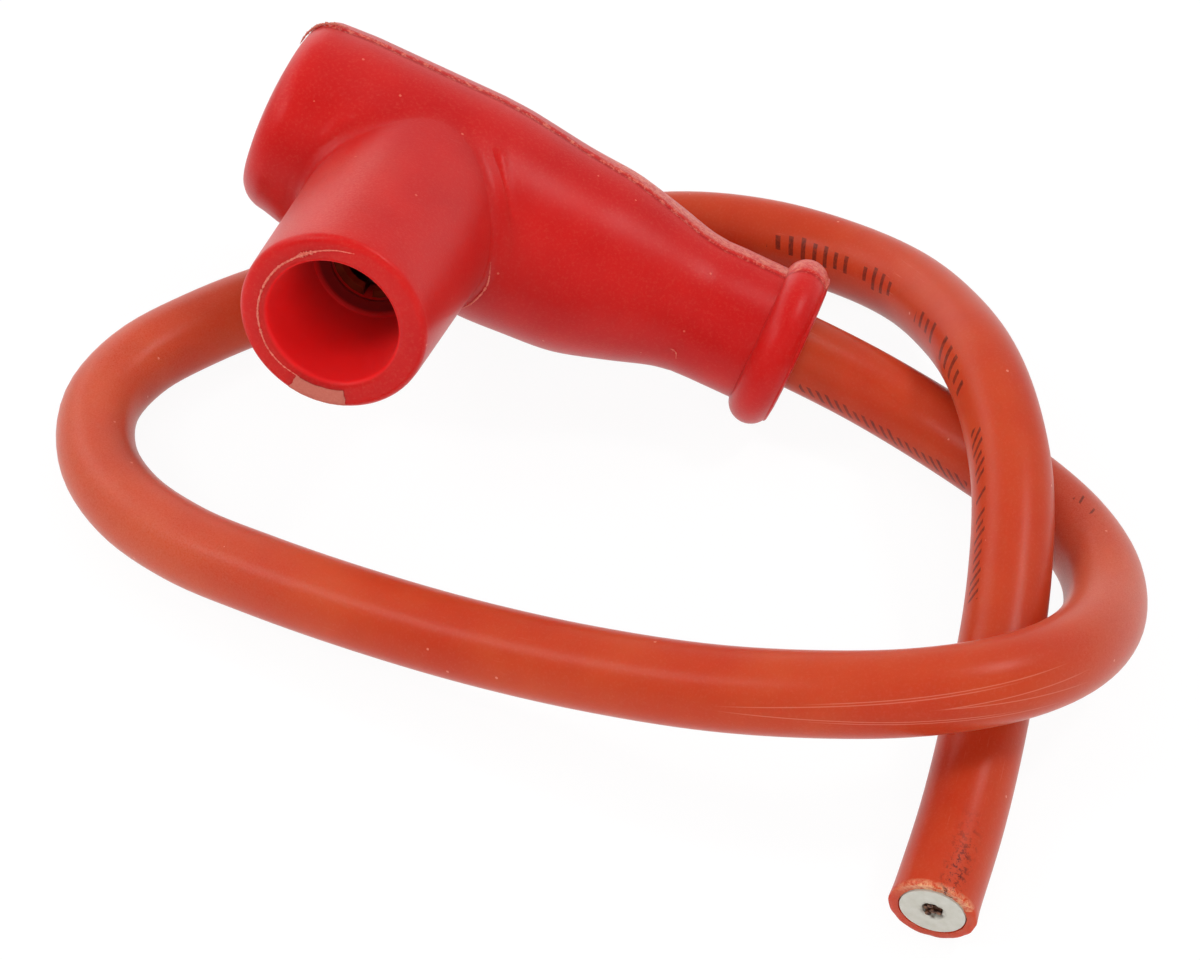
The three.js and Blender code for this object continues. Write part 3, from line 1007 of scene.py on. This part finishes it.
marks = noise_at(tree, place, 1.9, 5.0, 0.75)
# A painted highlight along the two bends, broken up by a fine grain
highlight_grain = ramp(tree, noise_at(tree, place, 6.0, 4.0, 0.7), 0.267, 0.6)
for middle, half in BENDS:
    painted_highlight = ramp(tree, distance(tree, on_cable["X"], middle), half, half / 3)
    scratches_and_highlight = maths(tree, "MAXIMUM", scratches_and_highlight, product(tree, painted_highlight, highlight_grain, 0.22))
near_cut = ramp(tree, to_cut, 10, 2.86)
smudged = ramp(tree, distance(tree, angle, math.radians(136)), 0.389, 0.111)
dark_marks = product(tree, ramp(tree, marks, 0.5071, 0.5786), near_cut, smudged)
at_cut = ramp(tree, to_cut, 0.714, 0)
upper = ramp(tree, distance(tree, angle, math.radians(128)), 1.5, 0.5)
pale_marks = product(tree, ramp(tree, marks, 0.4, 0.567), at_cut, upper)
base = mix(tree, scratches_and_highlight, skin.outputs["Colour"], JACKET_PALE_DUST_AND_HIGHLIGHT)
base = mix(tree, pale_marks, base, CUT_BURR)
base = mix(tree, dark_marks, base, SMUDGE)
base = mix(tree, ink, base, INK)
tree.links.new(base, shader.inputs["Base Color"])
tree.links.new(skin.outputs["Roughness"], shader.inputs["Roughness"])
set_inputs(
    shader,
    Specular_IOR_Level=0.18,
    Sheen_Weight=0.04,
    Sheen_Roughness=0.4,
    Sheen_Tint=(1, 0.85, 0.76, 1),
    Subsurface_Weight=0.4,
    Subsurface_Radius=(1.0, 0.18, 0.1),
    Subsurface_Scale=0.003,
)
bumped(tree, shader, skin.outputs["Height"], 0.25, 0.00005)
jacket.data.materials.append(orange_silicone)

# Insulation. White silicone between the jacket and the core, seen only at the cut.
# The cable screw has opened it up and pushed the strands back, inside the boot.
INSULATION_R = 3.03
INSULATION_CUT_R = 3.07  # where it fills the jacket
INSULATION_BORE_R = 0.95
SCREW_ROOM_R = 1.775
SCREW_ROOM_END = 21.0  # along the body
SCREW_ROOM = SCREW_ROOM_END - CABLE_START
STRANDS_REACH = 0.91  # from the core's middle, which the torn bore keeps clear of
TORN_REACH = 3  # along the cable from the cut, round the bore only
TORN_WITHIN = 1.5
# How far round the core's bore the insulation is drawn darker, and in what colour
DARK_RING_REACH = 0.4545
CORE_RING_DARK = colour(96, 70, 52)

insulation_bm = turned(
    closer(
        [
            (0, SCREW_ROOM_R),
            (0, INSULATION_R),
            (cable_length - 12, INSULATION_R),
            (cable_length - 8, INSULATION_CUT_R),
            (cable_length - 0.1, INSULATION_CUT_R),
            (cable_length - 0.02, INSULATION_CUT_R - 0.03),
            (cable_length - 0.05, 2.0),
            (cable_length - 0.12, INSULATION_BORE_R + 0.1),
            (cable_length - 0.3, INSULATION_BORE_R),
            (SCREW_ROOM, INSULATION_BORE_R),
            (SCREW_ROOM, SCREW_ROOM_R),
            (0, SCREW_ROOM_R),
        ],
        2.0,
    ),
    "X",
    40,
)
for vert in insulation_bm.verts:
    radius = math.hypot(vert.co.y, vert.co.z)
    if vert.co.x > cable_length - TORN_REACH and radius < TORN_WITHIN:
        angle = math.atan2(vert.co.z, vert.co.y)
        torn = 1 + 0.3 * noise.noise(Vector((1.6 * math.cos(angle), 1.6 * math.sin(angle), 6)))
        torn = max(torn, STRANDS_REACH / radius)
        vert.co.y *= torn
        vert.co.z *= torn
insulation = laid_piece(insulation_bm, "cable_insulation")
free_cord(insulation)
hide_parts("wire_insulation")

white_silicone, tree, shader = material("white_silicone")
place = along_cable(tree)
clouds = noise_at(tree, place, 1.2, 4.0)
base = mix(tree, clouds, colour(192, 189, 174), colour(219, 217, 209))
on_cable = axes(tree, place)
off_core = off_axis(tree, on_cable["Y"], on_cable["Z"])
# Darker round the core's bore, in uneven patches
darker_round_core = ramp(tree, off_core, INSULATION_BORE_R + DARK_RING_REACH, INSULATION_BORE_R)
darker_round_core = product(tree, darker_round_core, ramp(tree, noise_at(tree, place, 2.4, 4.0), 0.4, 0.733))
tree.links.new(mix(tree, darker_round_core, base, CORE_RING_DARK), shader.inputs["Base Color"])
shader.inputs["Roughness"].default_value = 0.55
bumped(tree, shader, noise_at(tree, place, 5.0, 4.0), 0.3, 0.00005)
insulation.data.materials.append(white_silicone)

# Core. Seven strands of tarnished copper wire, twisted, which carry the spark.
STRAND_R = 0.29
STRAND_PITCH_R = 0.6
STRAND_LAY = 16.0
STRAND_CUTS = (0.05, 0.3, 0.1, 0.42, 0.0, 0.25, 0.15)  # how far each strand's tip is short of the cut

core_bm = bmesh.new()
for strand in range(7):
    wire_bm = turned(
        closer(
            [(SCREW_ROOM, 0), (SCREW_ROOM, STRAND_R), (cable_length, STRAND_R), (cable_length + 0.05, 0)],
            1.3,
        ),
        "X",
        8,
    )
    offset = 0.0 if strand == 0 else STRAND_PITCH_R
    short = STRAND_CUTS[strand]
    for vert in wire_bm.verts:
        vert.co.x *= (cable_length - short) / cable_length
        angle = strand * math.pi / 3 + 2 * math.pi * vert.co.x / STRAND_LAY
        vert.co.y += offset * math.cos(angle)
        vert.co.z += offset * math.sin(angle)
    wire = bpy.data.meshes.new("strand")
    wire_bm.to_mesh(wire)
    wire_bm.free()
    core_bm.from_mesh(wire)
    bpy.data.meshes.remove(wire)
core = laid_piece(core_bm, "cable_core")
free_cord(core)
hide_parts("wire_conductor")

copper, tree, shader = material("tarnished_copper")
place = along_cable(tree)
tarnish = ramp(tree, noise_at(tree, place, 2.5, 4.0), 0.425, 0.675)
tree.links.new(mix(tree, tarnish, colour(46, 18, 12), colour(150, 104, 78)), shader.inputs["Base Color"])
shader.inputs["Metallic"].default_value = 0.6
shader.inputs["Roughness"].default_value = 0.5
core.data.materials.append(copper)

# Table and light. A plain white table under a sky that is brightest low down at the back, with small
# lamps high on both sides, softer ones on the left and a wide one that only fills in the front. The
# camera sees the table white, with only a trace of the shadow on it.
TABLE_WHITE = (0.8, 0.8, 0.8, 1)
SHADOW_FADE = 0.9

floor_bm = bmesh.new()
bmesh.ops.create_grid(floor_bm, x_segments=1, y_segments=1, size=3)
floor = piece_from(floor_bm, "floor")
white_table, tree, shader = material("white_table")
shader.inputs["Base Color"].default_value = TABLE_WHITE
shader.inputs["Roughness"].default_value = 0.9
paths = node(tree, "ShaderNodeLightPath")
seen_rays = maths(tree, "MAXIMUM", paths.outputs["Is Camera Ray"], paths.outputs["Is Glossy Ray"])
seen_rays = maths(tree, "MAXIMUM", seen_rays, paths.outputs["Is Transmission Ray"])
bright = node(tree, "ShaderNodeEmission", Strength=1.04)
faded = node(tree, "ShaderNodeMixShader")
tree.links.new(product(tree, seen_rays, SHADOW_FADE), faded.inputs[0])
tree.links.new(shader.outputs[0], faded.inputs[1])
tree.links.new(bright.outputs[0], faded.inputs[2])
tree.links.new(faded.outputs[0], tree.nodes["Material Output"].inputs["Surface"])
floor.data.materials.append(white_table)

world = bpy.data.worlds.new("sky")
world.use_nodes = True
scene.world = world
tree = world.node_tree
sky = tree.nodes["Background"]
sky.inputs["Color"].default_value = (1, 1, 1, 1)
in_sky = axes(tree, node(tree, "ShaderNodeTexCoord").outputs["Generated"])
backward = maths(tree, "MULTIPLY_ADD", in_sky["Y"], 0.22, 0.6)
strength = maths(tree, "MULTIPLY_ADD", in_sky["Z"], -0.35, backward)
tree.links.new(strength, sky.inputs["Strength"])

# Each lamp's place, size and power, and whether the silicone mirrors it
LAMPS = [
    ((-0.34, -0.24, 0.5), 0.16, 0.7, True),
    ((0.34, 0.17, 0.59), 0.12, 1.05, True),
    ((-0.45, 0.5, 0.15), 0.4, 0.45, True),
    ((-0.5, 0.1, 0.35), 0.3, 0.6, True),
    ((0.0, 0.1, 0.6), 0.4, 0.5, False),
    ((0.2, -0.6, 0.4), 0.6, 2.3, False),
]
for number, (place, size, power, mirrored) in enumerate(LAMPS):
    lamp_data = bpy.data.lights.new(f"soft_lamp_{number}", "AREA")
    lamp_data.shape = "SQUARE"
    lamp_data.size = size
    lamp_data.energy = power
    lamp = bpy.data.objects.new(f"soft_lamp_{number}", lamp_data)
    lamp.location = place
    lamp.rotation_euler = (-Vector(place)).to_track_quat("-Z", "Y").to_euler()
    lamp.visible_glossy = mirrored
    scene.collection.objects.link(lamp)

scene.view_settings.view_transform = "Standard"
